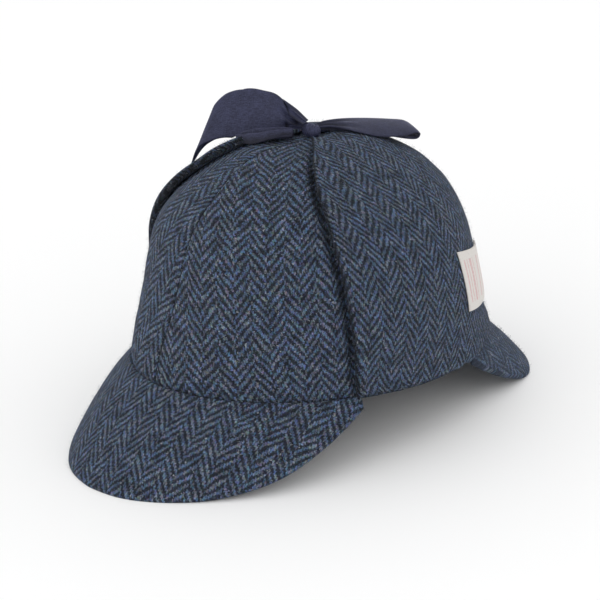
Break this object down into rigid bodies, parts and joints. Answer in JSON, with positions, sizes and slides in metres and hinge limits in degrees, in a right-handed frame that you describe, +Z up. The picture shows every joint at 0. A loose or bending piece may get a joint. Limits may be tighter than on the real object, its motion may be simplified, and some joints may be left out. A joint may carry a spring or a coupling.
{
  "type": "deerstalker hat",
  "caption": "Blue herringbone tweed deerstalker with a peak front and back, ear flaps folded up over the crown and a ribbon tied in a bow on top.",
  "frame": {"origin": "middle of the hat's footprint, on the surface that both peaks rest on", "axes": "+Z up; the front peak points to -Y, the wearer's left is +X"},
  "size_m": [0.19, 0.2822, 0.1787],
  "materials": {
    "crown_tweed": "fuzzy wool herringbone tweed in mid blue and near black with pale flecks",
    "peak_tweed": "fuzzy wool herringbone tweed in mid blue and near black with pale flecks",
    "flap_tweed": "fuzzy wool herringbone tweed in mid blue and near black with pale flecks",
    "woven_label": null,
    "ribbon": "dark navy satin ribbon, matt with a soft sheen"
  },
  "bodies": {
    "root": {"crown_front_left": "crown_tweed", "crown_front_right": "crown_tweed", "crown_back_left": "crown_tweed", "crown_back_right": "crown_tweed", "front_peak": "peak_tweed", "back_peak": "peak_tweed", "left_ear_flap": "flap_tweed", "right_ear_flap": "flap_tweed", "label": "woven_label", "bow_knot": "ribbon", "bow_large_loop": "ribbon", "bow_flat_loop": "ribbon", "right_flap_tie": "ribbon"}
  },
  "joints": []
}
